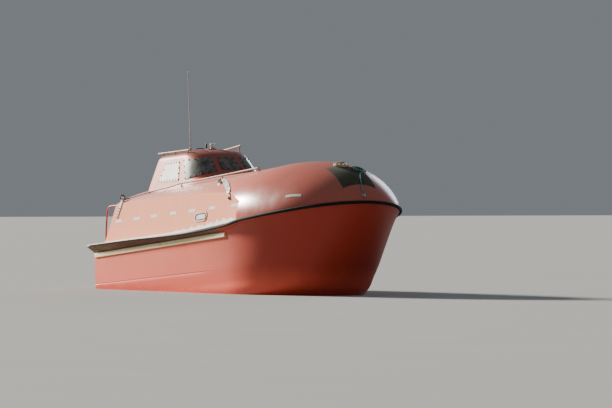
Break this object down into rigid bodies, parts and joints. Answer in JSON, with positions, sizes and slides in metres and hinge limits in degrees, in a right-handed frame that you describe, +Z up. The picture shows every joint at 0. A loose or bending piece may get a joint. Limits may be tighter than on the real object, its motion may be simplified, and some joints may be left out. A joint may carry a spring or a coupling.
{
  "type": "totally enclosed lifeboat",
  "caption": "Enclosed orange lifeboat afloat: whaleback canopy with a round bow, steering tower aft with windows and roof hatch, side ledges, stern door, propeller in a steering nozzle.",
  "frame": {"origin": "amidships on the centre line at the waterline, between the bow and the transom", "axes": "+X to the bow, +Y to port, +Z up"},
  "size_m": [7.651, 2.6548, 4.5003],
  "materials": {
    "hull_paint": "faded red-orange gelcoat, chalky and stained",
    "canopy_paint": "sun-bleached orange gelcoat",
    "window_glass": "clear pane with salt haze",
    "porthole_trim": "dull dark ring",
    "ledge_paint": "worn white deck paint",
    "strip_paint": "yellowed cream paint",
    "fender_rubber": "dull black rubber",
    "rail_paint": "weathered cream and brown paint",
    "pipe_paint": "faded red paint",
    "strap_paint": "white paint with rust at the bolts",
    "bitt_paint": "pale orange paint",
    "eye_steel": "weathered steel",
    "antenna_paint": "grey paint",
    "lamp_plastic": "white ribbed lamp on a dark foot",
    "keel_paint": "dark red underwater paint",
    "propeller_bronze": "dull bronze",
    "cabin_grey": "grey deck paint",
    "cabin_white": "white moulding",
    "engine_iron": "dark painted iron",
    "seat_vinyl": "dark vinyl",
    "wheel_plastic": "black rim",
    "rope_cream": "laid rope",
    "rope_teal": "laid rope"
  },
  "bodies": {
    "boat": {"hull": "hull_paint", "canopy": "canopy_paint", "tower": "canopy_paint", "window_side_starboard": "window_glass", "window_side_port": "window_glass", "window_corner_starboard": "window_glass", "window_corner_port": "window_glass", "window_front": "window_glass", "porthole_frame_starboard": "porthole_trim", "porthole_frame_port": "porthole_trim", "porthole_glass_starboard": "window_glass", "porthole_glass_port": "window_glass", "ledge_starboard": "ledge_paint", "ledge_port": "ledge_paint", "skid_strip_starboard": "strip_paint", "skid_strip_port": "strip_paint", "bow_fender": "fender_rubber", "aft_deck": "ledge_paint", "grab_rail_starboard": "rail_paint", "grab_rail_port": "rail_paint", "roof_rail_starboard": "rail_paint", "roof_rail_port": "rail_paint", "stern_rail_starboard": "pipe_paint", "stern_rail_port": "pipe_paint", "strap_forward_starboard": "strap_paint", "strap_forward_port": "strap_paint", "strap_aft_starboard": "strap_paint", "strap_aft_port": "strap_paint", "bow_bitt": "bitt_paint", "bow_eye": "eye_steel", "antenna": "antenna_paint", "beacon": "lamp_plastic", "skeg": "keel_paint", "cabin_floor": "cabin_grey", "engine_casing": "cabin_white", "engine": "engine_iron", "bench_starboard": "cabin_white", "bench_port": "cabin_white", "helm_seat": "seat_vinyl", "helm_console": "cabin_grey", "painter_coil": "rope_cream", "bow_line_coil": "rope_teal", "bow_line_run": "rope_teal"},
    "roof_lid": {"tower_hatch": "canopy_paint"},
    "stern_lid": {"stern_door": "canopy_paint"},
    "screw": {"propeller": "propeller_bronze"},
    "nozzle": {"steering_nozzle": "keel_paint"},
    "helm_wheel": {"steering_wheel": "wheel_plastic"}
  },
  "joints": [
    {"name": "roof_lid_hinge", "type": "hinge", "parent": "boat", "child": "roof_lid", "pos_m": [-2.56, 0, 2.1913], "axis": [0, -1, 0], "range_deg": [0, 100]},
    {"name": "stern_lid_hinge", "type": "hinge", "parent": "boat", "child": "stern_lid", "pos_m": [-3.12615, 0, 1.40162], "axis": [0, 1, 0], "range_deg": [0, 110]},
    {"name": "screw_turn", "type": "hinge", "parent": "boat", "child": "screw", "pos_m": [-3.53, 0, -0.7], "axis": [1, 0, 0], "continuous": true},
    {"name": "nozzle_steer", "type": "hinge", "parent": "boat", "child": "nozzle", "pos_m": [-3.53, 0, -0.7], "axis": [0, 0, 1], "range_deg": [-35, 35]},
    {"name": "helm_turn", "type": "hinge", "parent": "boat", "child": "helm_wheel", "pos_m": [-1.74, 0, 1.45], "axis": [-0.8776, 0, 0.4794], "range_deg": [-420, 420]}
  ],
  "couplings": [
    {"joint": "helm_turn", "follows": "nozzle_steer", "ratio": -12}
  ]
}
